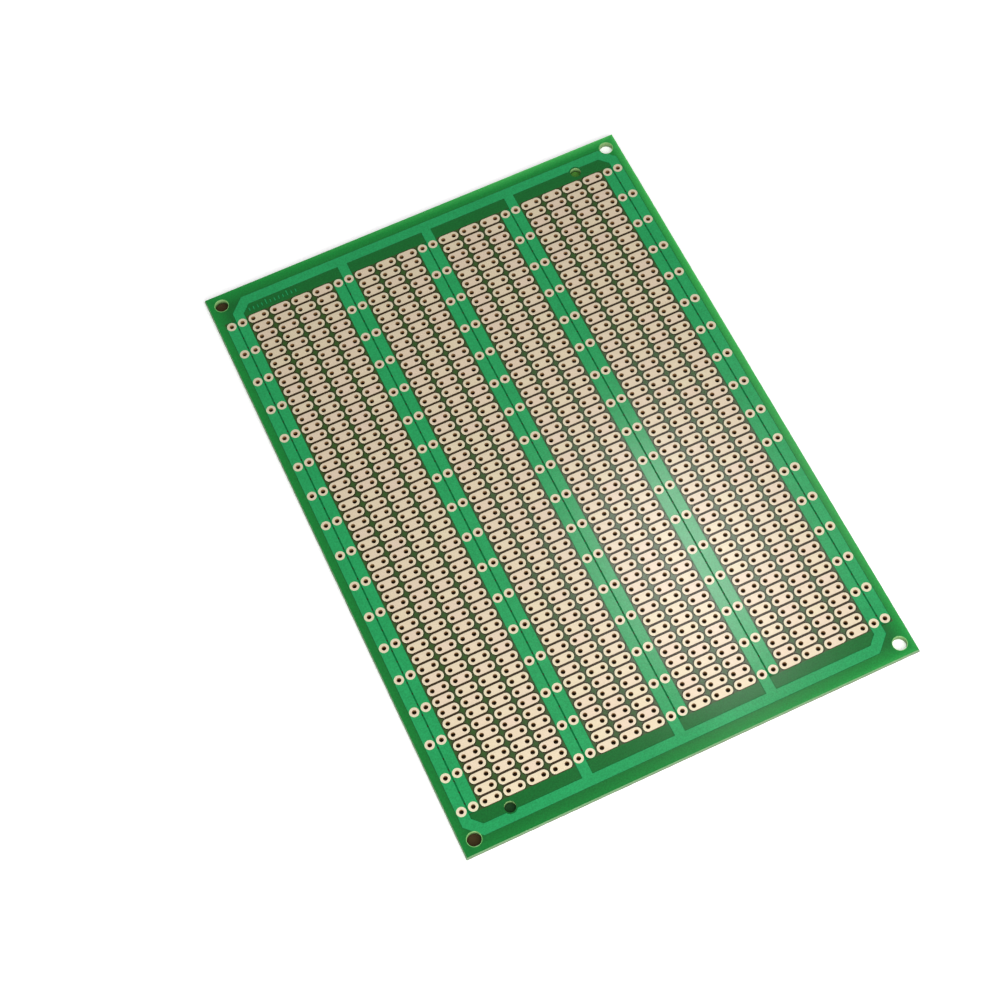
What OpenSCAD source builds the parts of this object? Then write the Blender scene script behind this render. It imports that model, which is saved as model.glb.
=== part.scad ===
/* [Board] */
// Width of the board across its hole columns
board_w = 100; // [60:1:160]
// Length of the board along its hole columns
board_l = 140; // [80:1:200]
// Thickness of the finished board, with copper and mask
board_t = 1.6; // [1.2:0.1:3.2]
// Depth of the groove that the board was snapped from, on each face
score_depth = 0.5; // [0.1:0.05:0.55]
// How far the groove's wall leans in from the snapped edge
score_lean = 0.2; // [0.05:0.05:0.4]

/* [Hole grid] */
// Distance from one hole to the next, both ways
pitch = 2.54; // [2:0.01:3.2]
// Diameter of a component hole
hole_d = 1; // [0.6:0.05:1.3]
// Least distance from a side edge to the first hole column
side_margin = 3; // [2.5:0.5:8]
// Least distance from an end edge to the first hole row
end_margin = 9; // [8.5:0.5:14]
// Number of pad fields, with a pair of bus strips on both sides of each
field_count = 4; // [2:1:6]
// Rows from one pair of bus lands to the next
land_step = 3; // [1:1:6]

/* [Copper] */
// Thickness of the copper foil
copper_t = 0.035; // [0.018:0.001:0.07]
// Gap etched between neighbouring pieces of copper
copper_gap = 0.34; // [0.2:0.02:0.6]

/* [Solder mask] */
// Thickness of the mask where it covers copper
mask_t = 0.025; // [0.01:0.005:0.05]
// Gap between the edge of a pad and the mask
mask_gap = 0.05; // [0.02:0.01:0.08]
// How far the mask laps over the copper round a bus land
mask_lap = 0.05; // [0.02:0.01:0.2]

/* [Mounting holes] */
// Diameter of the four mounting holes
mount_d = 3; // [2:0.1:4]
// Distance from each edge to the centre of a mounting hole
mount_inset = 3; // [2.5:0.1:4]

/* [Tooling holes] */
// Diameter of the two tooling holes
tool_d = 2.4; // [1.6:0.1:3]
// Gap from a tooling hole to the copper
tool_gap = 0.3; // [0.1:0.05:0.6]
// Distance from the outermost hole column in to a tooling hole
tool_in = 9.04; // [6:0.01:14]
// Distance from the last hole row out to a tooling hole
tool_out = 3.14; // [2.6:0.01:3.4]

/* [Etched scale] */
// Number of marks in the scale
mark_count = 12; // [2:1:16]
// Distance from one mark to the next
mark_step = 1; // [0.6:0.1:1.5]
// Width of one mark
mark_w = 0.2; // [0.15:0.01:0.4]
// Length of a plain mark
mark_l = 0.8; // [0.4:0.1:1.2]
// Extra length of every fifth mark
mark_extra = 0.5; // [0:0.1:0.8]

/* [Hidden] */
fields = [for (f = [0:field_count - 1]) f];
$fn = 48;

laminate_t = board_t - copper_t - mask_t;
copper_w = pitch - copper_gap;
land_d = copper_w - 2 * mask_lap;

// As many rows as fit with a bus land in the first and in the last of them
last_row = land_step * floor((board_l - 2 * end_margin) / (pitch * land_step));
// As many two-hole pads as fit, the two outer fields sharing what is left over
bus_pairs = field_count + 1;
columns_that_fit = floor((board_w - 2 * side_margin) / pitch) + 1;
pads_that_fit = floor(columns_that_fit / 2) - bus_pairs;
inner_pads = floor(pads_that_fit / field_count);
outer_pads = inner_pads + floor((pads_that_fit - inner_pads * field_count) / 2);
pads_across = [for (f = fields) f == 0 || f == field_count - 1 ? outer_pads : inner_pads];
// Left-hand column of each bus pair
bus_columns = [for (b = [0:bus_pairs - 1]) 2 * b + 2 * total(pads_across, b)];
last_column = bus_columns[field_count] + 1;

// Rows past the last one where a bus turns its corner and where it runs across
turn_row = last_row + 1;
joining_row = last_row + 2;

function field_name(f) = str("pad_field_", f + 1);
function total(list, count) = count == 0 ? 0 : list[count - 1] + total(list, count - 1);
function reversed(list) = [for (k = [len(list) - 1:-1:0]) list[k]];
function column_x(column) = (column - last_column / 2) * pitch;
function row_y(row) = (row - last_row / 2) * pitch;
function hole_at(column, row) = [column_x(column), row_y(row)];

module across_field(f) {
    first = bus_columns[f] + 2;
    for (pad = [0:pads_across[f] - 1], row = [0:last_row])
        translate(hole_at(first + 2 * pad, row)) children();
}

module across_lands(side) {
    for (column = bus_columns, row = [0:land_step:last_row])
        translate(hole_at(column + side, row)) children();
}

// The two tooling holes lie at opposite corners of the hole grid
module at_tooling_holes() {
    for (turn = [0, 180]) rotate(turn)
        translate([column_x(last_column) - tool_in, row_y(last_row) + tool_out]) children();
}

module mounting_holes() {
    for (side = [-1, 1], end = [-1, 1])
        translate([side * (board_w / 2 - mount_inset), end * (board_l / 2 - mount_inset)])
            circle(d = mount_d);
}

module field_holes(f) {
    across_field(f) for (x = [0, pitch]) translate([x, 0]) circle(d = hole_d);
}

// Outline of a two-hole pad, or of an opening that is larger by spread all round
module pad_outline(spread = 0) {
    translate([0, -copper_w / 2 - spread]) square([pitch, copper_w + 2 * spread]);
    for (x = [0, pitch]) translate([x, 0]) circle(d = copper_w + 2 * spread);
}

// Groove on both faces along one edge, with the snapped edge at x = 0
module score_groove(length) {
    clear = 1;
    rotate([90, 0, 0]) linear_extrude(length + 2 * clear, center = true) {
        for (face = [0, 1]) translate([0, face * laminate_t]) mirror([0, 1 - face])
            polygon([[-score_lean, 0], [0, -score_depth], [clear, -score_depth],
                     [clear, clear], [-score_lean, clear]]);
    }
}

// Woven glass and resin sheet, drilled through and snapped out of its panel
module laminate() {
    color("#d5dcae") difference() {
        linear_extrude(laminate_t) difference() {
            square([board_w, board_l], center = true);
            for (f = fields) field_holes(f);
            for (side = [0, 1]) across_lands(side) circle(d = hole_d);
            mounting_holes();
            at_tooling_holes() circle(d = tool_d);
        }
        for (turn = [0, 180]) rotate(turn) translate([board_w / 2, 0]) score_groove(board_l);
        for (turn = [90, 270]) rotate(turn) translate([board_l / 2, 0]) score_groove(board_w);
    }
}

// Bare copper pads of one field, each round its own two holes
module pad_field(f) {
    color("#e9cdb0") translate([0, 0, laminate_t]) linear_extrude(copper_t) difference() {
        across_field(f) pad_outline();
        field_holes(f);
    }
}

// One side of the track that runs up the first strip, across the end and down the
// last strip, at the distance aside from its middle
function bent_side(aside) =
    let (first = hole_at(bus_columns[0] + 1, turn_row), last = hole_at(last_column, turn_row),
         mitre = aside * tan(22.5))
    [[first.x - aside, row_y(0)],
     [first.x - aside, first.y + mitre],
     [first.x + pitch - mitre, first.y + pitch + aside],
     [last.x - pitch + mitre, last.y + pitch + aside],
     [last.x + aside, last.y + mitre],
     [last.x + aside, row_y(0)]];

// Right-hand strip of each pair, round at the first row and joined past the last one
module bus_outline() {
    half = copper_w / 2;
    difference() {
        union() {
            polygon(concat(bent_side(-half), reversed(bent_side(half))));
            for (b = [1:field_count - 1]) translate(hole_at(bus_columns[b] + 1, 0))
                translate([-half, 0]) square([copper_w, row_y(joining_row) - row_y(0)]);
            for (column = bus_columns) translate(hole_at(column + 1, 0)) circle(d = copper_w);
        }
        at_tooling_holes() circle(d = tool_d + 2 * tool_gap);
    }
}

module bus() {
    color("#c98a5e") translate([0, 0, laminate_t]) linear_extrude(copper_t) difference() {
        bus_outline();
        across_lands(1) circle(d = hole_d);
        mounting_holes();
    }
}

module upper_bus() {
    bus();
}

// The same bus turned half round, so that it joins the left-hand strips
module lower_bus() {
    rotate(180) bus();
}

// Row of etched marks between the upper bus and the first pad field
module marks_outline() {
    for (mark = [0:mark_count - 1]) {
        length = mark_l + (mark % 5 == 4 ? mark_extra : 0);
        translate(hole_at(bus_columns[0] + 2, turn_row) + [mark * mark_step, -mark_l / 2])
            square([mark_w, length]);
    }
}

module scale_marks() {
    color("#c98a5e") translate([0, 0, laminate_t]) linear_extrude(copper_t) marks_outline();
}

// Green lacquer over the laminate, the buses and the marks, open at pads and lands
module solder_mask() {
    color("#219a58") translate([0, 0, laminate_t]) difference() {
        linear_extrude(copper_t + mask_t) difference() {
            square([board_w - 2 * score_lean, board_l - 2 * score_lean], center = true);
            for (f = fields) across_field(f) pad_outline(mask_gap);
            for (side = [0, 1]) across_lands(side) circle(d = land_d);
            mounting_holes();
            at_tooling_holes() circle(d = tool_d);
        }
        linear_extrude(2 * copper_t, center = true) {
            bus_outline();
            rotate(180) bus_outline();
            marks_outline();
        }
    }
}

laminate();
for (f = fields) {
    pad_field(f);
}
upper_bus();
lower_bus();
scale_marks();
solder_mask();
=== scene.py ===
"""A bare prototyping circuit board: drilled glass-epoxy sheet, etched copper foil and green solder mask."""

import random
from math import atan, cos, degrees, pi, radians, sin, sqrt, tan

import bmesh
import bpy
from mathutils import Matrix, Quaternion, Vector


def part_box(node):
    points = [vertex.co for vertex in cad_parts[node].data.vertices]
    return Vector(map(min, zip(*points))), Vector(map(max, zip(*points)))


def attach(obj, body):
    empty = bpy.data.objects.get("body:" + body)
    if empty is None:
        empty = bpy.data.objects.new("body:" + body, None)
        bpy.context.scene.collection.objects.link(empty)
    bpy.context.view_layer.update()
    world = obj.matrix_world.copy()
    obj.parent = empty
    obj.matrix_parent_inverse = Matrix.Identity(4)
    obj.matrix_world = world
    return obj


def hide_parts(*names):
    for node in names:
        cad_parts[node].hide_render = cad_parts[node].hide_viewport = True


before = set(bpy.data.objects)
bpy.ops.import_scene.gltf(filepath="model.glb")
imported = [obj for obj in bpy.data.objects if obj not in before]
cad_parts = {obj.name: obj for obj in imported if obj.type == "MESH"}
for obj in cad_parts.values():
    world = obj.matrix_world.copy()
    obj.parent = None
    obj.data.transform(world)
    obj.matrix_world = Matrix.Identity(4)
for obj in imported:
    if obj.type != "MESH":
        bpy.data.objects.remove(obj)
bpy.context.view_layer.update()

mm = 0.001

# ---------------------------------------------------------------- sizes
PITCH = 2.54 * mm
COPPER_W = 2.2 * mm
HOLE_R = 0.5 * mm
LAND_R = 1.05 * mm
LAND_STEP = 3
MASK_GAP = 0.05 * mm
MASK_T = 0.025 * mm
FOIL_T = 0.035 * mm
SCORE_DEPTH = 0.5 * mm
SCORE_LEAN = 0.2 * mm
MOUNT_R = 1.5 * mm
MOUNT_INSET = 3 * mm
TOOL_R = 1.2 * mm
TOOL_GAP = 0.3 * mm
TOOL_IN = 9.04 * mm
TOOL_OUT = 3.14 * mm
MARK_COUNT = 12
MARK_STEP = 1 * mm
MARK_W = 0.2 * mm
MARK_L = 0.8 * mm
MARK_EXTRA = 0.5 * mm

# How far the mask's shoulder runs out beside the copper under it
SHOULDER = 0.08 * mm
# What is left of the mask between a mounting hole and a bus that passes it
HOLE_LIP = 0.02 * mm
# How much narrower the etching leaves a pad at the top than at its foot
UNDERCUT = 0.075 * mm
# Length of one splinter of the snapped edge, and how deep it is torn
TEAR_STEP = 1 * mm
TEAR = 0.05 * mm

# Sides of a lead hole, of half a round end, of a land's opening and of a wide hole
HOLE_SIDES = 16
END_STEPS = 8
LAND_SIDES = 20
WIDE_SIDES = 40

# Least upright part of the normal of a flat face, and greatest part of a wall's
FLAT = 0.99
WALL = 0.5

# ---------------------------------------------------------------- places
def corners(name):
    """The lowest and highest corner of a node's box, to the micrometre."""
    return [Vector([round(value, 6) for value in corner]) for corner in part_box(name)]


HALF_W, HALF_L, TOP = corners("laminate")[1]
BOARD_T = corners("solder_mask")[1].z
FACE_W = HALF_W - SCORE_LEAN
FACE_L = HALF_L - SCORE_LEAN

FIELD_NAMES = sorted(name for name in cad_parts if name.startswith("pad_field_"))


def field_holes(name):
    """The first hole's place in a pad field, and how many pads lie across it."""
    low, high = corners(name)
    across = round(((high.x - low.x - COPPER_W) / PITCH + 1) / 2)
    return low.x + COPPER_W / 2, across


FIELDS = {name: field_holes(name) for name in FIELD_NAMES}
FIRST_Y = corners(FIELD_NAMES[0])[0].y + COPPER_W / 2
LAST_ROW = round(-2 * FIRST_Y / PITCH)

# The right-hand strip of each bus pair. The left-hand strips are the same turned half round.
STRIPS = [x - PITCH for x, across in FIELDS.values()]
STRIPS.append(-STRIPS[0] + PITCH)


def row_y(row):
    return FIRST_Y + row * PITCH


TURN_Y = row_y(LAST_ROW + 1)
JOIN_Y = row_y(LAST_ROW + 2)
TOOL_X = STRIPS[-1] - TOOL_IN
TOOL_Y = row_y(LAST_ROW) + TOOL_OUT
TOOLS = [(TOOL_X, TOOL_Y), (-TOOL_X, -TOOL_Y)]
MOUNT_X = HALF_W - MOUNT_INSET
MOUNT_Y = HALF_L - MOUNT_INSET
LANDS = [(x, row_y(row)) for x in STRIPS for row in range(0, LAST_ROW + 1, LAND_STEP)]
PADS = {
    name: [(x + 2 * pad * PITCH, row_y(row)) for pad in range(across) for row in range(LAST_ROW + 1)]
    for name, (x, across) in FIELDS.items()
}

# ---------------------------------------------------------------- looks
# Etched copper, from pad to pad and within one, its painted highlight rim, and how much of it is bright
# metal
COPPER_TAN = "F5E5C3"
COPPER_PINK = "F6DEC6"
COPPER_DULL = "E6D3AD"
COPPER_RIM_HIGHLIGHT = "EFE8C5"
COPPER_METAL = 0.55
COPPER_ROUGH = (0.42, 0.58)
COAT_ROUGH = 0.17
COPPER_MOTTLE = 0.9 * mm
# The grain of rolled foil is nearer 0.02 mm, which would not show
COPPER_GRAIN = 0.15 * mm
RIM_START = 0.74 * mm
RIM_FULL = 0.94 * mm
# The etched edge of the foil, dark brown, made darker still as painted shade in the gaps between pads
COPPER_EDGE_AND_SHADE = "4A2C06"
WALL_START = 1 * mm
# How much further out the copper shows at a pad's round ends than along its sides, and what share
# of the painted highlight rim at its ends the sides have
END_REACH = 0.05 * mm
SIDE_RIM = 0.25

# Solder mask over foil, with painted shade at the foil's edge, and round a wide hole, then with painted
# light from the board's edge inwards, and with painted shade from between two strips through a pad's
# foot to between four pads
MASK_FOIL = "21A05C"
MASK_FOIL_DARK = "1C9150"
# Painted shade: a dark line along the slope where the mask climbs over the foil's edge
MASK_STEP_SHADE = "075C30"
MASK_RING = "86CC78"
RING_W = 0.12 * mm
# Painted light: the mask over bare sheet lightens towards the board's edges, as if light came up through
# the sheet
MASK_BORDER_LIT = [(0, "5CCC68"), (0.15, "34A84C"), (0.45, "118635"), (0.9, "0C6527")]
# Where on those tones the border starts near the front left, as less light gets under it there
BORDER_START = 0.62
BORDER_REACH = 60 * mm
MASK_WEB_SHADE = [(0, "0B6F38"), (0.1, "2E1A00"), (0.33, "2A2000"), (0.64, "28440C"), (1, "28500E")]
EDGE_GLOW = 4.5 * mm
WEB_LAP = 0.15 * mm
FOOT_W = 0.18 * mm
# Between two round ends the mask is toned as if it lay this much nearer to the middle of four pads
END_SHIFT = 0.2 * mm
MASK_CLOUD = 9 * mm
# The orange peel of the lacquer, about twice as coarse as it is, and how it darkens and lightens it
MASK_MOTTLE = 0.3 * mm
MOTTLE_SHADE = (0.84, 1.16)
MASK_ROUGH = (0.14, 0.18)
WEB_ROUGHER = 0.05
# Specular level over and beside the foil, among the pads, and at their feet
FOIL_GLOSS = 0.5
WEB_GLOSS = 0.75
FOOT_GLOSS = 0.05
DUST = "C9E3C6"
DUST_CELL = 7 * mm
DUST_SIZE = 0.12 * mm
DUST_SHARE = 0.12

# Glass-epoxy: the pitch of its yarns, the painted shade of its bare top round the pads,
# and its pressed, scored, torn and drilled faces
EPOXY_IOR = 1.55
WARP_YARN = 0.58 * mm
WEFT_YARN = 0.79 * mm
RESIN_CLOUD = 5 * mm
# Painted shade for the bare top of the sheet in the narrow gaps round the pads
SHADED_DARK = "221807"
SHADED_PALE = "3C300F"
SHEET_DARK = "A3A06A"
SHEET_PALE = "D6D3A2"
SCORE_DARK = "568250"
SCORE_PALE = "7EA878"
# The snapped band between the grooves, grey from its torn fibres and darker with painted shade
TORN_AND_SHADE_DARK = "525844"
TORN_AND_SHADE_PALE = "80886C"
# Painted shade: the lead holes' walls are brown and darker than the wide bores, for the shade down the
# narrow holes
DRILLED_SHADE_DARK = "684418"
DRILLED_SHADE_PALE = "906A3A"
BORED_DARK = "5F8A48"
BORED_PALE = "93B876"

# The paper's own white: none under the board, some beside it, most where the lamps hardly reach.
# The shade is a rectangle that leaves the corner holes clear, with one more over the left-hand corners,
# and the other places are distances out from it.
PAPER = "F5F5F5"
PAPER_SHADED = "3E2C10"
# Painted green light on the shaded paper below each tooling hole, as if light came through the bare green
# sheet beside it
PAPER_GREEN_LIGHT = ["4F8A30", "143E1A"]
SHADED_IN = (1 * mm, 4.6 * mm)
SHADED_BACK = 0.7 * mm
SHADED_LEFT = 25 * mm
SHADED_SOFT = 0.4 * mm
LIFT_RIM = 0.3
LIFT_NEAR = 0.45
NEAR_FROM, NEAR_TO = 5 * mm, 15 * mm
FAR_FROM, FAR_TO = 0.15, 1.0
SEED = 7

# ---------------------------------------------------------------- studio
FLOOR_R = 4
FLOOR_SIDES = 64
BEND_STEPS = 8
WALL_BEND = 0.5
WALL_HEIGHT = 1.6
ROOM_LIGHT = 0.2
# Lamps and camera stand at an azimuth and elevation in degrees, then a distance
MAIN_LIGHT = 3.82
MAIN_FROM = (-90, 52, 0.5)
MAIN_SIZE = 0.7
HAZE_AT = (0.0195, -0.031, 0.0016)
BOX_LIGHT = 0.33
BOX_FROM = (58.1, 65.8, 1.0)
BOX_SIZE = 0.1
BOX_LENGTH = 0.17
BOX_TURN = 34
AIM = (-0.01181, -0.00288, 0.0016)
VIEW_FROM = (-109.98, 64.11, 0.4426)
ROLL = -5.38
LENS = 76.27
SENSOR = 36


# ---------------------------------------------------------------- outlines
def arc(x, y, radius, start, end, steps):
    """Points along a round stretch, from one angle to another in degrees."""
    angles = [radians(start + (end - start) * k / steps) for k in range(steps + 1)]
    return [(x + radius * cos(a), y + radius * sin(a)) for a in angles]


def turned(points):
    """The same points turned half round about the middle of the board."""
    return [(-x, -y) for x, y in points]


def rectangle(left, right, low, high):
    return [(left, low), (right, low), (right, high), (left, high)]


def pad_outline(x, y, radius):
    """The long rounded shape round a pad's two holes."""
    left = arc(x, y, radius, 90, 270, END_STEPS)
    right = arc(x + PITCH, y, radius, -90, 90, END_STEPS)
    return left + right


def tool_notch(half):
    """The bus pulled back round a tooling hole that lies just inside it."""
    radius = TOOL_R + TOOL_GAP - (half - COPPER_W / 2)
    rise = JOIN_Y - half - TOOL_Y
    side = degrees(atan(rise / sqrt(radius**2 - rise**2)))
    return arc(TOOL_X, TOOL_Y, radius, 180 - side, side, END_STEPS)


def mount_notch(half, lip):
    """The bus cut away by the mounting hole that its last corner passes."""
    past = ((MOUNT_X - STRIPS[-1]) + (MOUNT_Y - TURN_Y)) / sqrt(2) - half
    radius = MOUNT_R + lip
    side = degrees(atan(sqrt(radius**2 - past**2) / past))
    return arc(MOUNT_X, MOUNT_Y, radius, 225 + side, 225 - side, END_STEPS)


def bus_outline(half, lip):
    """The bus across the end with a strip down from it at each pair, half its width to each side."""
    mitre = half * tan(radians(22.5))
    first, last = STRIPS[0], STRIPS[-1]
    points = arc(first, FIRST_Y, half, 180, 360, END_STEPS)
    points += [(first + half, TURN_Y - mitre), (first + PITCH + mitre, JOIN_Y - half)]
    for x in STRIPS[1:-1]:
        points.append((x - half, JOIN_Y - half))
        points += arc(x, FIRST_Y, half, 180, 360, END_STEPS)
        points.append((x + half, JOIN_Y - half))
    points += tool_notch(half)
    points += [(last - PITCH - mitre, JOIN_Y - half), (last - half, TURN_Y - mitre)]
    points += arc(last, FIRST_Y, half, 180, 360, END_STEPS)
    points.append((last + half, TURN_Y + mitre))
    points += mount_notch(half, lip)
    points += [(last - PITCH + mitre, JOIN_Y + half), (first + PITCH - mitre, JOIN_Y + half)]
    points.append((first - half, TURN_Y + mitre))
    return points


def mark_outline(mark, spread):
    """One etched mark of the scale between the top bus and the first pad field."""
    x = STRIPS[0] + PITCH + mark * MARK_STEP
    y = TURN_Y - MARK_L / 2
    length = MARK_L + (MARK_EXTRA if mark % 5 == 4 else 0)
    return rectangle(x - spread, x + MARK_W + spread, y - spread, y + length + spread)


# ---------------------------------------------------------------- building
QUARTER = Matrix(((0, -1, 0), (1, 0, 0), (0, 0, 1)))
# The sheet's finishes, in the order of its materials
PRESSED, SCORED, SNAPPED, LEAD_BORE, WIDE_BORE, PAD_GAP_SHADE = range(6)


def ring(bm, points, z):
    """A closed chain of edges through the points."""
    verts = [bm.verts.new((x, y, z)) for x, y in points]
    return [bm.edges.new(pair) for pair in zip(verts, verts[1:] + verts[:1])]


def circles(bm, centres, radius, sides, z):
    """The edges of one circle at each centre."""
    edges = []
    for x, y in centres:
        place = Matrix.Translation((x, y, z))
        made = bmesh.ops.create_circle(bm, cap_ends=False, segments=sides, radius=radius, matrix=place)
        edges += dict.fromkeys(edge for vert in made["verts"] for edge in vert.link_edges)
    return edges


def wide_holes(bm, z):
    """The edges of the mounting and tooling holes."""
    mounts = [(x, y) for x in (-MOUNT_X, MOUNT_X) for y in (-MOUNT_Y, MOUNT_Y)]
    return circles(bm, mounts, MOUNT_R, WIDE_SIDES, z) + circles(bm, TOOLS, TOOL_R, WIDE_SIDES, z)


def fill(bm, edges):
    """Flat faces over what the closed chains of edges enclose, open where one lies in another.

    The fill sweeps along its plane and loses its way among long strips that run with the sweep,
    so the sheet is turned a quarter while it is filled.
    """
    verts = list(dict.fromkeys(vert for edge in edges for vert in edge.verts))
    bmesh.ops.rotate(bm, cent=(0, 0, 0), matrix=QUARTER, verts=verts)
    bmesh.ops.triangle_fill(bm, use_beauty=True, use_dissolve=False, edges=edges, normal=(0, 0, 1))
    bmesh.ops.rotate(bm, cent=(0, 0, 0), matrix=QUARTER.transposed(), verts=verts)


def thicken(bm, depth):
    """Turns a sheet into a closed body that reaches down by depth."""
    made = bmesh.ops.extrude_face_region(bm, geom=bm.faces[:], use_keep_orig=True)
    lower = [part for part in made["geom"] if isinstance(part, bmesh.types.BMVert)]
    bmesh.ops.translate(bm, vec=(0, 0, -depth), verts=lower)
    bmesh.ops.recalc_face_normals(bm, faces=bm.faces[:])


def piece(name, bm, node, materials):
    """Makes the finished mesh an object that stands for a node."""
    mesh = bpy.data.meshes.new(name)
    bm.to_mesh(mesh)
    bm.free()
    for material in materials:
        mesh.materials.append(material)
    obj = bpy.data.objects.new(name, mesh)
    bpy.context.scene.collection.objects.link(obj)
    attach(obj, "root")
    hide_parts(node)


def board_edge():
    """The rim of the board's flat face, with a point at every splinter of the snapped edge."""
    points = []
    turns = rectangle(-FACE_W, FACE_W, -FACE_L, FACE_L)
    for (x0, y0), (x1, y1) in zip(turns, turns[1:] + turns[:1]):
        count = round((abs(x1 - x0) + abs(y1 - y0)) / TEAR_STEP)
        points += [(x0 + (x1 - x0) * k / count, y0 + (y1 - y0) * k / count) for k in range(count)]
    return points


def snap_edges(bm):
    """Grooves the rim on both faces and leaves it torn between the grooves."""
    rim = [face for face in bm.faces if abs(face.normal.z) < WALL and at_rim(face.calc_center_median())]
    torn = []
    for z in (SCORE_DEPTH, TOP / 2, TOP - SCORE_DEPTH):
        wall = dict.fromkeys(part for face in rim for part in (face, *face.edges, *face.verts))
        cut = bmesh.ops.bisect_plane(bm, geom=list(wall), plane_co=(0, 0, z), plane_no=(0, 0, 1))
        rim = [part for part in cut["geom"] if isinstance(part, bmesh.types.BMFace)]
        torn += [part for part in cut["geom_cut"] if isinstance(part, bmesh.types.BMVert)]
    for vert in torn:
        out = SCORE_LEAN - random.uniform(0, TEAR)
        if abs(vert.co.x) > FACE_W - SCORE_LEAN:
            vert.co.x += out if vert.co.x > 0 else -out
        if abs(vert.co.y) > FACE_L - SCORE_LEAN:
            vert.co.y += out if vert.co.y > 0 else -out


def at_rim(place):
    return abs(place.x) > FACE_W - SCORE_LEAN or abs(place.y) > FACE_L - SCORE_LEAN


def wall_finish(face):
    """Which of the sheet's finishes a face has."""
    place = face.calc_center_median()
    if abs(face.normal.z) > FLAT:
        # The flat top is seen only in the gaps round the pads, and takes painted shade there
        return PAD_GAP_SHADE if face.normal.z > 0 else PRESSED
    if at_rim(place):
        return SNAPPED if SCORE_DEPTH < place.z < TOP - SCORE_DEPTH else SCORED
    past_rows = abs(place.y) > -FIRST_Y + PITCH / 2
    return WIDE_BORE if past_rows else LEAD_BORE


def laminate():
    """The glass-epoxy sheet, drilled through and snapped out along its grooves."""
    bm = bmesh.new()
    holes = [hole for pads in PADS.values() for x, y in pads for hole in ((x, y), (x + PITCH, y))]
    edges = ring(bm, board_edge(), TOP)
    edges += circles(bm, holes + LANDS + turned(LANDS), HOLE_R, HOLE_SIDES, TOP)
    edges += wide_holes(bm, TOP)
    fill(bm, edges)
    thicken(bm, TOP)
    snap_edges(bm)
    bm.normal_update()
    for face in bm.faces:
        face.material_index = wall_finish(face)
        face.smooth = face.material_index in (LEAD_BORE, WIDE_BORE)
    return bm


def pad_field(places):
    """The bare pads of one field, each a little narrower at the top than at its foot."""
    bm = bmesh.new()
    holes = [(0, 0), (PITCH, 0)]
    foot = ring(bm, pad_outline(0, 0, COPPER_W / 2), TOP)
    crest = ring(bm, pad_outline(0, 0, COPPER_W / 2 - UNDERCUT), TOP + FOIL_T)
    bmesh.ops.bridge_loops(bm, edges=foot + crest)
    for hole in holes:
        low = circles(bm, [hole], HOLE_R, HOLE_SIDES, TOP)
        high = circles(bm, [hole], HOLE_R, HOLE_SIDES, TOP + FOIL_T)
        bmesh.ops.bridge_loops(bm, edges=low + high)
        foot += low
        crest += high
    fill(bm, foot)
    fill(bm, crest)
    flat = [face for face in bm.faces if abs(face.normal.z) > FLAT]
    inner = list(dict.fromkeys(edge for face in flat for edge in face.edges))
    bmesh.ops.dissolve_limit(bm, angle_limit=radians(1), verts=[], edges=inner)
    bmesh.ops.recalc_face_normals(bm, faces=bm.faces[:])
    one = bm.verts[:] + bm.edges[:] + bm.faces[:]
    for x, y in places[1:]:
        copy = bmesh.ops.duplicate(bm, geom=one)["geom"]
        verts = [part for part in copy if isinstance(part, bmesh.types.BMVert)]
        bmesh.ops.translate(bm, vec=(x - places[0][0], y - places[0][1], 0), verts=verts)
    bmesh.ops.translate(bm, vec=(places[0][0], places[0][1], 0), verts=bm.verts)
    return bm


def bus_foil():
    """The foil of one bus, which shows only in the openings of its lands."""
    bm = bmesh.new()
    edges = ring(bm, bus_outline(COPPER_W / 2, 0), TOP + FOIL_T)
    edges += circles(bm, LANDS, HOLE_R, HOLE_SIDES, TOP + FOIL_T)
    fill(bm, edges)
    thicken(bm, FOIL_T)
    return bm


def raised_outlines(spread, lip):
    """Every outline that the mask climbs over, from the middle of the foil out to the spread."""
    half = COPPER_W / 2 + spread
    bus = bus_outline(half, lip)
    return [bus, turned(bus)] + [mark_outline(mark, spread) for mark in range(MARK_COUNT)]


def solder_mask():
    """The lacquer coat: low over the sheet, raised over foil, open at pads, lands and holes."""
    bm = bmesh.new()
    low = ring(bm, board_edge(), TOP + MASK_T)
    for pads in PADS.values():
        for x, y in pads:
            low += ring(bm, pad_outline(x, y, COPPER_W / 2 + MASK_GAP), TOP + MASK_T)
    low += wide_holes(bm, TOP + MASK_T)
    high = circles(bm, LANDS + turned(LANDS), LAND_R, LAND_SIDES, BOARD_T)
    feet = [ring(bm, points, TOP + MASK_T) for points in raised_outlines(SHOULDER, HOLE_LIP)]
    tops = [ring(bm, points, BOARD_T) for points in raised_outlines(0, HOLE_LIP + SHOULDER / 2)]
    fill(bm, low + [edge for foot in feet for edge in foot])
    fill(bm, high + [edge for top in tops for edge in top])
    for foot, top in zip(feet, tops):
        bmesh.ops.bridge_loops(bm, edges=foot + top)
    thicken(bm, MASK_T)
    return bm


# ---------------------------------------------------------------- materials
def linear(code):
    """An sRGB hex colour as the linear light that a shader takes."""
    parts = [int(code[k : k + 2], 16) / 255 for k in (0, 2, 4)]
    return [p / 12.92 if p <= 0.04045 else ((p + 0.055) / 1.055) ** 2.4 for p in parts] + [1]


def add(tree, kind, inputs, **settings):
    """A node with its settings, each input either set or linked."""
    node = tree.nodes.new("ShaderNode" + kind)
    for name, value in settings.items():
        setattr(node, name, value)
    for name, value in inputs.items():
        if isinstance(value, bpy.types.NodeSocket):
            tree.links.new(value, node.inputs[name])
        else:
            node.inputs[name].default_value = value
    return node


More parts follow.
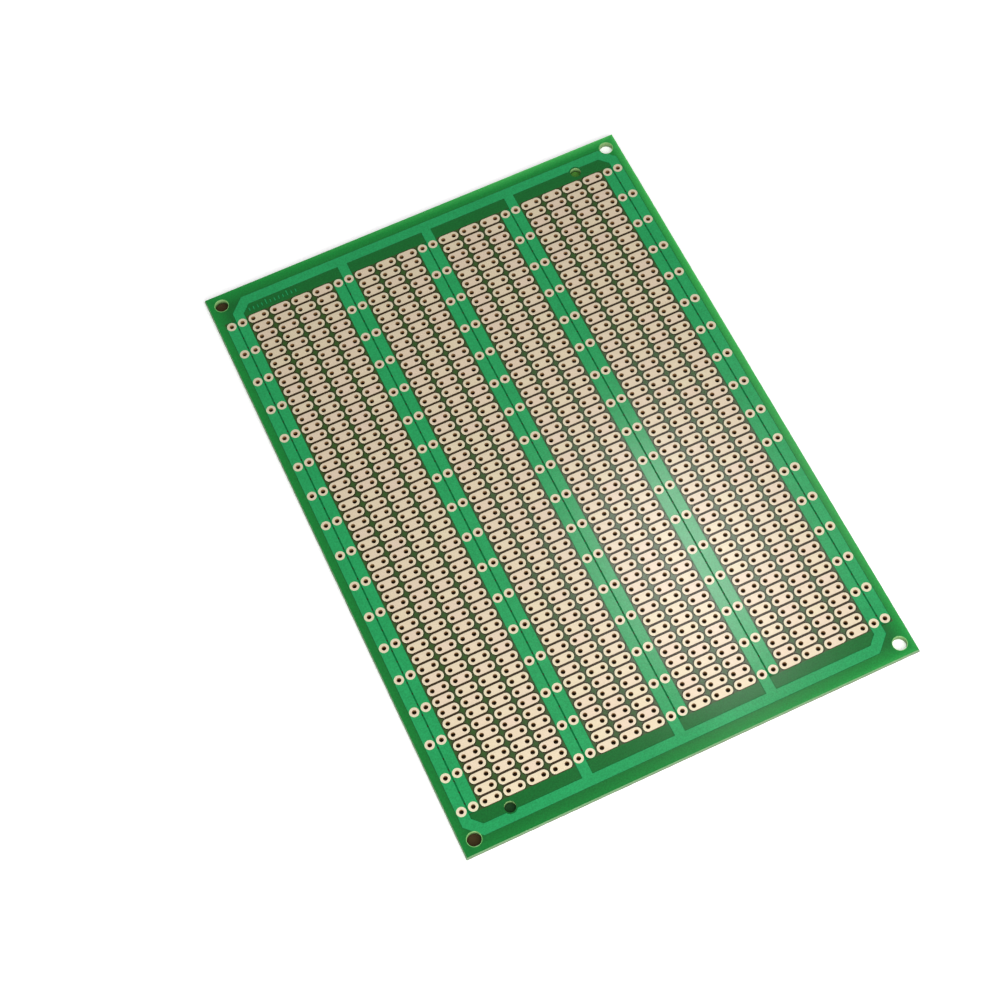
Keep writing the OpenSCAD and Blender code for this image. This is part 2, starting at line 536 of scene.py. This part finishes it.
def finish(name, **constants):
    """A material with the numbers that are the same all over it set, with its tree and shader."""
    made = bpy.data.materials.new(name)
    made.use_nodes = True
    shader = made.node_tree.nodes["Principled BSDF"]
    for socket, value in constants.items():
        shader.inputs[socket].default_value = value
    return made, made.node_tree, shader


def ramp(node, stops):
    """Sets a colour ramp's stops, each a position with a hex colour."""
    elements = node.color_ramp.elements
    while len(elements) < len(stops):
        elements.new(0.5)
    for element, (position, code) in zip(elements, stops):
        element.position = position
        element.color = linear(code)


def from_middle(tree, place, width):
    """Distance from the middle line of the nearest cell of the hole grid, as wide as given and a row high.

    The cells start at the outermost column, so at two columns wide each holds a pad or a pair of strips.
    Also gives the part of it that lies past the cell's outer holes, and the cell's own corner.
    """
    start = (-STRIPS[-1] - PITCH / 2, FIRST_Y - PITCH / 2, 0)
    moved = add(tree, "VectorMath", {0: place, 1: start}, operation="SUBTRACT").outputs[0]
    corner = add(tree, "VectorMath", {0: moved, 1: (width, PITCH, 1)}, operation="SNAP").outputs[0]
    inside = add(tree, "VectorMath", {0: moved, 1: corner}, operation="SUBTRACT").outputs[0]
    middle = (width / 2, PITCH / 2, 0)
    centred = add(tree, "VectorMath", {0: inside, 1: middle}, operation="SUBTRACT").outputs[0]
    aside = add(tree, "VectorMath", {0: centred}, operation="ABSOLUTE").outputs[0]
    flat = add(tree, "VectorMath", {0: aside, 1: (1, 1, 0)}, operation="MULTIPLY").outputs[0]
    line = ((width - PITCH) / 2, 0, 0)
    past = add(tree, "VectorMath", {0: flat, 1: line}, operation="SUBTRACT").outputs[0]
    clear = add(tree, "VectorMath", {0: past, 1: (0, 0, 0)}, operation="MAXIMUM").outputs[0]
    away = add(tree, "VectorMath", {0: clear}, operation="LENGTH").outputs["Value"]
    beyond = add(tree, "SeparateXYZ", {0: clear}).outputs["X"]
    return away, beyond, corner


def from_edge(tree, place, half_w, half_l):
    """Distance in from the nearest side of a rectangle about the middle of the board."""
    aside = add(tree, "VectorMath", {0: place}, operation="ABSOLUTE").outputs[0]
    left = add(tree, "VectorMath", {0: (half_w, half_l, 0), 1: aside}, operation="SUBTRACT").outputs[0]
    sides = add(tree, "SeparateXYZ", {0: left}).outputs
    return add(tree, "Math", {0: sides["X"], 1: sides["Y"]}, operation="MINIMUM").outputs[0]


def from_mounts(tree, place):
    """Distance out from the rim of the nearest mounting hole."""
    corner = add(tree, "VectorMath", {0: place}, operation="ABSOLUTE").outputs[0]
    flat = add(tree, "VectorMath", {0: corner, 1: (1, 1, 0)}, operation="MULTIPLY").outputs[0]
    spot = (MOUNT_X, MOUNT_Y, 0)
    away = add(tree, "VectorMath", {0: flat, 1: spot}, operation="DISTANCE").outputs["Value"]
    return add(tree, "Math", {0: away, 1: MOUNT_R}, operation="SUBTRACT").outputs[0]


def etched_copper(name, width):
    """Etched copper foil under a clear protective lacquer, for pads of a width in hole pitches.

    It gives a matt, warm pinkish tan that differs a little from pad to pad, with fine mottling,
    and a pale cream rim painted along the etched edge as a highlight.
    """
    made, tree, shader = finish(name, Metallic=COPPER_METAL, **{"Coat Roughness": COAT_ROUGH})
    place = add(tree, "TexCoord", {}).outputs["Object"]
    away, beyond, corner = from_middle(tree, place, width * PITCH)
    batch = add(tree, "VectorMath", {0: corner, 3: 1 / mm}, operation="SCALE").outputs[0]
    luck = add(tree, "TexWhiteNoise", {"Vector": batch}).outputs
    tones = {0: luck["Value"], 6: linear(COPPER_TAN), 7: linear(COPPER_PINK)}
    tone = add(tree, "Mix", tones, data_type="RGBA")
    clouded = {"Vector": place, "Scale": 1 / COPPER_MOTTLE, "Detail": 3}
    mottle = add(tree, "TexNoise", clouded).outputs["Fac"]
    wear = {"Value": mottle, "From Min": 0.35, "From Max": 0.75, "To Max": 0.35}
    worn = add(tree, "MapRange", wear).outputs[0]
    dulled = add(tree, "Mix", {0: worn, 6: tone.outputs[2], 7: linear(COPPER_DULL)}, data_type="RGBA")
    # Painted highlight: a pale cream rim along the pad's edge, narrower along the sides of a wide pad
    sides = SIDE_RIM if width > 1 else 1
    end = add(tree, "MapRange", {"Value": beyond, "From Max": RIM_START, "To Min": sides}).outputs[0]
    near = {"Value": away, "From Min": RIM_START, "From Max": RIM_FULL, "To Max": end}
    pale = add(tree, "MapRange", near).outputs[0]
    rimmed = add(tree, "Mix", {0: pale, 6: dulled.outputs[2], 7: linear(COPPER_RIM_HIGHLIGHT)}, data_type="RGBA")
    # Dark etched edge at the pad's foot, with painted shade in it, and no coat there
    drawn = add(tree, "Math", {0: end, 1: -END_REACH, 2: away}, operation="MULTIPLY_ADD").outputs[0]
    wall = add(tree, "Math", {0: drawn, 1: WALL_START}, operation="GREATER_THAN").outputs[0]
    skin = add(tree, "Mix", {0: wall, 6: rimmed.outputs[2], 7: linear(COPPER_EDGE_AND_SHADE)}, data_type="RGBA")
    tree.links.new(skin.outputs[2], shader.inputs["Base Color"])
    coated = add(tree, "Math", {0: 1, 1: wall}, operation="SUBTRACT").outputs[0]
    tree.links.new(coated, shader.inputs["Coat Weight"])
    low, high = COPPER_ROUGH
    rough = add(tree, "MapRange", {"Value": mottle, "To Min": low, "To Max": high}).outputs[0]
    tree.links.new(rough, shader.inputs["Roughness"])
    grain = add(tree, "TexNoise", {"Vector": place, "Scale": 1 / COPPER_GRAIN, "Detail": 2}).outputs["Fac"]
    bump = add(tree, "Bump", {"Height": grain, "Strength": 0.25, "Distance": 0.004 * mm})
    tree.links.new(bump.outputs[0], shader.inputs["Normal"])
    return made


def green_lacquer():
    """Light-cured epoxy solder mask, curtain-coated over foil and bare sheet.

    It gives a bright, slightly milky green over copper and a dark one over the sheet, with brown painted
    shade between the pads, lighter with painted light near the board's edges, and a satin skin.
    """
    made, tree, shader = finish("green epoxy solder mask, coated", IOR=EPOXY_IOR)
    place = add(tree, "TexCoord", {}).outputs["Object"]
    height = add(tree, "SeparateXYZ", {0: place}).outputs["Z"]
    raised = {"Value": height, "From Min": TOP + MASK_T, "From Max": BOARD_T}
    over_foil = add(tree, "MapRange", raised).outputs[0]

    # Painted light near the board's edges, weaker towards the front left
    edge = from_edge(tree, place, HALF_W, HALF_L)
    side = add(tree, "VectorMath", {0: place, 1: (1, 0.5, 0)}, operation="DOT_PRODUCT").outputs["Value"]
    reach = {"From Min": -BORDER_REACH, "From Max": BORDER_REACH, "To Min": BORDER_START, "To Max": 0}
    lack = add(tree, "MapRange", {"Value": side, **reach}).outputs[0]
    depth = add(tree, "MapRange", {"Value": edge, "From Max": EDGE_GLOW, "To Min": lack}).outputs[0]
    border = add(tree, "ValToRGB", {0: depth})
    ramp(border, MASK_BORDER_LIT)

    # Painted shade among the pads: dark brown in the narrow gaps, easing to olive between four pads
    away, beyond = from_middle(tree, place, 2 * PITCH)[:2]
    ends = {"Value": beyond, "From Max": COPPER_W / 2, "To Max": END_SHIFT}
    shift = add(tree, "MapRange", ends).outputs[0]
    moved = add(tree, "Math", {0: away, 1: shift}, operation="ADD").outputs[0]
    gap = {"Value": moved, "From Min": COPPER_W / 2 - SHOULDER, "From Max": PITCH / sqrt(2)}
    web = add(tree, "ValToRGB", {0: add(tree, "MapRange", gap).outputs[0]})
    ramp(web, MASK_WEB_SHADE)
    block = from_edge(tree, place, STRIPS[-1] + PITCH / 2, -FIRST_Y + COPPER_W / 2 + WEB_LAP)
    among = add(tree, "MapRange", {"Value": block, "From Max": WEB_LAP}).outputs[0]
    low = add(tree, "Mix", {0: among, 6: border.outputs[0], 7: web.outputs[0]}, data_type="RGBA")

    cloud = add(tree, "TexNoise", {"Vector": place, "Scale": 1 / MASK_CLOUD, "Detail": 4}).outputs["Fac"]
    high = add(tree, "Mix", {0: cloud, 6: linear(MASK_FOIL_DARK), 7: linear(MASK_FOIL)}, data_type="RGBA")
    step = add(tree, "Mix", {0: over_foil, 6: low.outputs[2], 7: high.outputs[2]}, data_type="RGBA")
    # Painted shade: a dark line along the mask's slope over the foil's edge
    slope = add(tree, "Math", {0: over_foil, 1: 0.5, 2: 0.49}, operation="COMPARE").outputs[0]
    step_shaded = add(tree, "Mix", {0: slope, 6: step.outputs[2], 7: linear(MASK_STEP_SHADE)}, data_type="RGBA")
    rim = {"Value": from_mounts(tree, place), "From Min": RING_W, "From Max": RING_W / 2}
    ringed = add(tree, "MapRange", rim).outputs[0]
    skin = add(tree, "Mix", {0: ringed, 6: step_shaded.outputs[2], 7: linear(MASK_RING)}, data_type="RGBA")
    mottle = add(tree, "TexNoise", {"Vector": place, "Scale": 1 / MASK_MOTTLE, "Detail": 2}).outputs["Fac"]
    dark, pale = MOTTLE_SHADE
    spread = {"Value": mottle, "From Min": 0.3, "From Max": 0.7, "To Min": dark, "To Max": pale}
    shade = add(tree, "MapRange", spread).outputs[0]
    lit = add(tree, "VectorMath", {0: skin.outputs[2], 3: shade}, operation="SCALE")

    dots = add(tree, "TexVoronoi", {"Vector": place, "Scale": 1 / DUST_CELL})
    speck = {"Value": dots.outputs["Distance"], "From Min": DUST_SIZE / DUST_CELL, "From Max": 0}
    dot = add(tree, "MapRange", speck).outputs[0]
    pick = add(tree, "SeparateColor", {0: dots.outputs["Color"]}).outputs[0]
    some = add(tree, "Math", {0: pick, 1: 1 - DUST_SHARE}, operation="GREATER_THAN").outputs[0]
    dusty = add(tree, "Math", {0: dot, 1: some}, operation="MULTIPLY").outputs[0]
    dusted = add(tree, "Mix", {0: dusty, 6: lit.outputs[0], 7: linear(DUST)}, data_type="RGBA")
    tree.links.new(dusted.outputs[2], shader.inputs["Base Color"])

    # Thinner and less even among the pads, it shines more widely there, and hardly at all at their feet
    low_web = add(tree, "Math", {0: among, 1: over_foil}, operation="SUBTRACT", use_clamp=True).outputs[0]
    smooth, satin = MASK_ROUGH
    even = add(tree, "MapRange", {"Value": cloud, "To Min": smooth, "To Max": satin}).outputs[0]
    rough = add(tree, "Math", {0: low_web, 1: WEB_ROUGHER, 2: even}, operation="MULTIPLY_ADD").outputs[0]
    tree.links.new(rough, shader.inputs["Roughness"])
    foot = {"Value": away, "From Min": COPPER_W / 2 + FOOT_W, "From Max": COPPER_W / 2}
    close = add(tree, "MapRange", foot).outputs[0]
    beside = add(tree, "Math", {0: close, 1: low_web}, operation="MULTIPLY").outputs[0]
    dull = add(tree, "Math", {0: beside, 1: slope}, operation="MAXIMUM").outputs[0]
    open_gloss = {"Value": low_web, "To Min": FOIL_GLOSS, "To Max": WEB_GLOSS}
    shine = add(tree, "MapRange", open_gloss).outputs[0]
    gloss = add(tree, "MapRange", {"Value": dull, "To Min": shine, "To Max": FOOT_GLOSS}).outputs[0]
    tree.links.new(gloss, shader.inputs["Specular IOR Level"])
    bump = add(tree, "Bump", {"Height": mottle, "Strength": 0.6, "Distance": 0.003 * mm})
    tree.links.new(bump.outputs[0], shader.inputs["Normal"])
    return made


def woven_sheet(name, dark, pale):
    """Pressed glass-fibre weave in epoxy resin, bare.

    It gives a sheet in which the over-and-under of the yarns shows as small squares, pale yellow-green
    where it is open to the light, and dark with painted shade in the narrow gaps round the pads.
    """
    made, tree, shader = finish(name, IOR=EPOXY_IOR, Roughness=0.45)
    place = add(tree, "TexCoord", {}).outputs["Object"]
    scaled = {0: place, 1: (pi / WARP_YARN, pi / WEFT_YARN, 0)}
    turns = add(tree, "VectorMath", scaled, operation="MULTIPLY").outputs[0]
    waves = add(tree, "VectorMath", {0: turns}, operation="SINE").outputs[0]
    sides = add(tree, "SeparateXYZ", {0: waves}).outputs
    weave = add(tree, "Math", {0: sides["X"], 1: sides["Y"]}, operation="MULTIPLY").outputs[0]
    cloud = add(tree, "TexNoise", {"Vector": place, "Scale": 1 / RESIN_CLOUD, "Detail": 3}).outputs["Fac"]
    yarn = add(tree, "MapRange", {"Value": weave, "From Min": -1, "To Max": 0.6}).outputs[0]
    mixed = add(tree, "Math", {0: yarn, 1: cloud, 2: 0.1}, operation="MULTIPLY_ADD").outputs[0]
    skin = add(tree, "Mix", {0: mixed, 6: linear(dark), 7: linear(pale)}, data_type="RGBA")
    tree.links.new(skin.outputs[2], shader.inputs["Base Color"])
    bump = add(tree, "Bump", {"Height": weave, "Strength": 0.2, "Distance": 0.01 * mm})
    tree.links.new(bump.outputs[0], shader.inputs["Normal"])
    return made


def cut_glass(name, dark, pale, size, stretch, roughness):
    """Glass-fibre epoxy where it has been cut, with the fibres' ends showing in a direction and size."""
    made, tree, shader = finish(name, IOR=EPOXY_IOR, Roughness=roughness)
    place = add(tree, "TexCoord", {}).outputs["Object"]
    spread = add(tree, "VectorMath", {0: place, 1: stretch}, operation="MULTIPLY").outputs[0]
    fibre = add(tree, "TexNoise", {"Vector": spread, "Scale": 1 / size, "Detail": 4}).outputs["Fac"]
    share = add(tree, "MapRange", {"Value": fibre, "From Min": 0.3, "From Max": 0.7}).outputs[0]
    skin = add(tree, "Mix", {0: share, 6: linear(dark), 7: linear(pale)}, data_type="RGBA")
    tree.links.new(skin.outputs[2], shader.inputs["Base Color"])
    bump = add(tree, "Bump", {"Height": fibre, "Strength": 0.5, "Distance": 0.03 * mm})
    tree.links.new(bump.outputs[0], shader.inputs["Normal"])
    return made


def white_paper():
    """Plain matt paper, which shows evenly white and keeps the board's shadow.

    Under the board it is dark, as the little light that comes through a small hole is lost there.
    """
    made, tree, shader = finish("white paper", Roughness=1.0)
    shader.inputs["Emission Color"].default_value = linear("FFFFFF")
    path = add(tree, "LightPath", {}).outputs
    seen = add(tree, "Math", {0: path["Is Camera Ray"], 1: path["Is Glossy Ray"]}, operation="MAXIMUM")
    seen = add(tree, "Math", {0: seen.outputs[0], 1: path["Is Transmission Ray"]}, operation="MAXIMUM")
    place = add(tree, "TexCoord", {}).outputs["Object"]
    back = add(tree, "VectorMath", {0: place, 1: (0, SHADED_BACK, 0)}, operation="SUBTRACT").outputs[0]
    left = add(tree, "VectorMath", {0: back, 1: (SHADED_LEFT, 0, 0)}, operation="ADD").outputs[0]
    whole = from_edge(tree, back, HALF_W - SHADED_IN[0], HALF_L - SHADED_IN[1])
    part = from_edge(tree, left, HALF_W - SHADED_IN[0] - SHADED_LEFT, HALF_L - SHADED_IN[0])
    depth = add(tree, "Math", {0: whole, 1: part}, operation="MAXIMUM").outputs[0]
    clear = add(tree, "MapRange", {"Value": depth, "From Min": SHADED_SOFT, "From Max": 0}).outputs[0]
    dark = linear(PAPER_SHADED)
    # Painted green light on the shaded paper round each tooling hole
    for (x, y), tint in zip(TOOLS, PAPER_GREEN_LIGHT):
        away = add(tree, "VectorMath", {0: place, 1: (x, y, 0)}, operation="DISTANCE").outputs["Value"]
        near = {"Value": away, "From Min": 2 * TOOL_R, "From Max": TOOL_R}
        green_lit = add(tree, "MapRange", near).outputs[0]
        dark = add(tree, "Mix", {0: green_lit, 6: dark, 7: linear(tint)}, data_type="RGBA").outputs[2]
    skin = add(tree, "Mix", {0: clear, 6: dark, 7: linear(PAPER)}, data_type="RGBA").outputs[2]
    tree.links.new(skin, shader.inputs["Base Color"])
    beside = {"From Min": -NEAR_FROM, "From Max": -NEAR_TO, "To Min": LIFT_RIM, "To Max": LIFT_NEAR}
    near = add(tree, "MapRange", {"Value": depth, **beside}).outputs[0]
    beyond = {"From Min": -FAR_FROM, "From Max": -FAR_TO, "To Max": 1 - LIFT_NEAR}
    far = add(tree, "MapRange", {"Value": depth, **beyond}).outputs[0]
    level = add(tree, "Math", {0: near, 1: far}, operation="ADD").outputs[0]
    level = add(tree, "Math", {0: level, 1: clear}, operation="MULTIPLY").outputs[0]
    lift = add(tree, "Math", {0: seen.outputs[0], 1: level}, operation="MULTIPLY")
    tree.links.new(lift.outputs[0], shader.inputs["Emission Strength"])
    return made


# ---------------------------------------------------------------- pieces
pad_copper = etched_copper("lacquered copper, etched pads", 2)
land_copper = etched_copper("lacquered copper, etched lands", 1)
sheet_finishes = [
    woven_sheet("glass-fibre epoxy, pressed", SHEET_DARK, SHEET_PALE),
    cut_glass("glass-fibre epoxy, scored", SCORE_DARK, SCORE_PALE, 0.3 * mm, (1, 1, 4), 0.7),
    # The snapped band, grey from torn fibres, with painted shade
    cut_glass("glass-fibre epoxy, snapped, with painted shade", TORN_AND_SHADE_DARK, TORN_AND_SHADE_PALE, 0.4 * mm, (1, 1, 6), 0.85),
    # The lead holes' walls, in painted shade
    cut_glass(
        "glass-fibre epoxy, lead hole walls, painted shade", DRILLED_SHADE_DARK, DRILLED_SHADE_PALE, 0.25 * mm, (1, 1, 5), 0.6
    ),
    cut_glass(
        "glass-fibre epoxy, drilled wide holes", BORED_DARK, BORED_PALE, 0.3 * mm, (1, 1, 5), 0.6
    ),
    # The bare top of the sheet, with painted shade round the pads
    woven_sheet("glass-fibre epoxy, painted shade round the pads", SHADED_DARK, SHADED_PALE),
]
random.seed(SEED)
piece("drilled_sheet", laminate(), "laminate", sheet_finishes)
for field, places in PADS.items():
    piece("etched_" + field, pad_field(places), field, [pad_copper])
piece("upper_bus_foil", bus_foil(), "upper_bus", [land_copper])
lower_foil = bus_foil()
bmesh.ops.rotate(lower_foil, cent=(0, 0, 0), matrix=Matrix.Rotation(pi, 3, "Z"), verts=lower_foil.verts)
piece("lower_bus_foil", lower_foil, "lower_bus", [land_copper])
piece("mask_coat", solder_mask(), "solder_mask", [green_lacquer()])
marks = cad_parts["scale_marks"]
for slot in marks.material_slots:
    slot.material = land_copper

# ---------------------------------------------------------------- stage
floor_mesh = bpy.data.meshes.new("floor")
floor_bm = bmesh.new()
bend = [(x, 0, z + WALL_BEND) for x, z in arc(FLOOR_R, 0, WALL_BEND, -90, 0, BEND_STEPS)]
run = [floor_bm.verts.new(place) for place in [(0, 0, 0), *bend, (FLOOR_R + WALL_BEND, 0, WALL_HEIGHT)]]
edges = [floor_bm.edges.new(pair) for pair in zip(run, run[1:])]
bmesh.ops.spin(
    floor_bm,
    geom=run + edges,
    cent=(0, 0, 0),
    axis=(0, 0, 1),
    angle=2 * pi,
    steps=FLOOR_SIDES,
    use_merge=True,
)
bmesh.ops.remove_doubles(floor_bm, verts=floor_bm.verts, dist=mm)
for face in floor_bm.faces:
    face.smooth = True
floor_bm.to_mesh(floor_mesh)
floor_bm.free()
floor_mesh.materials.append(white_paper())
floor = bpy.data.objects.new("floor", floor_mesh)
bpy.context.scene.collection.objects.link(floor)

world = bpy.data.worlds.new("studio")
bpy.context.scene.world = world
world.use_nodes = True
air = world.node_tree.nodes["Background"]
air.inputs["Color"].default_value = linear("FFFFFF")
air.inputs["Strength"].default_value = ROOM_LIGHT


def facing(place, target, roll):
    """The turn that points a lamp or camera from a place at a target, rolled in degrees."""
    look = (Vector(target) - Vector(place)).to_track_quat("-Z", "Y")
    return (look @ Quaternion((0, 0, 1), radians(roll))).to_euler()


def lamp(name, energy, place, target, roll, **settings):
    """Adds a soft studio lamp at a place, turned to a target."""
    data = bpy.data.lights.new(name, "AREA")
    data.energy = energy
    for key, value in settings.items():
        setattr(data, key, value)
    obj = bpy.data.objects.new(name, data)
    bpy.context.scene.collection.objects.link(obj)
    obj.location = place
    obj.rotation_euler = facing(place, target, roll)


def toward(azimuth, elevation, distance, target):
    """The place at a distance from a target, in degrees round from +X and up from the floor."""
    turn, rise = radians(azimuth), radians(elevation)
    across = cos(rise) * distance
    offset = (across * cos(turn), across * sin(turn), sin(rise) * distance)
    return Vector(target) + Vector(offset)


middle = (0, 0, BOARD_T)
lamp("main_softbox", MAIN_LIGHT, toward(*MAIN_FROM, middle), middle, 0, shape="DISK", size=MAIN_SIZE)
behind = toward(*BOX_FROM, HAZE_AT)
oval = {"shape": "ELLIPSE", "size": BOX_SIZE, "size_y": BOX_LENGTH}
lamp("back_softbox", BOX_LIGHT, behind, HAZE_AT, BOX_TURN, **oval)

camera_data = bpy.data.cameras.new("camera")
camera_data.lens = LENS
camera_data.sensor_width = SENSOR
camera = bpy.data.objects.new("camera", camera_data)
bpy.context.scene.collection.objects.link(camera)
camera.location = toward(*VIEW_FROM, AIM)
camera.rotation_euler = facing(camera.location, AIM, ROLL)
bpy.context.scene.camera = camera
bpy.context.scene.view_settings.view_transform = "Standard"
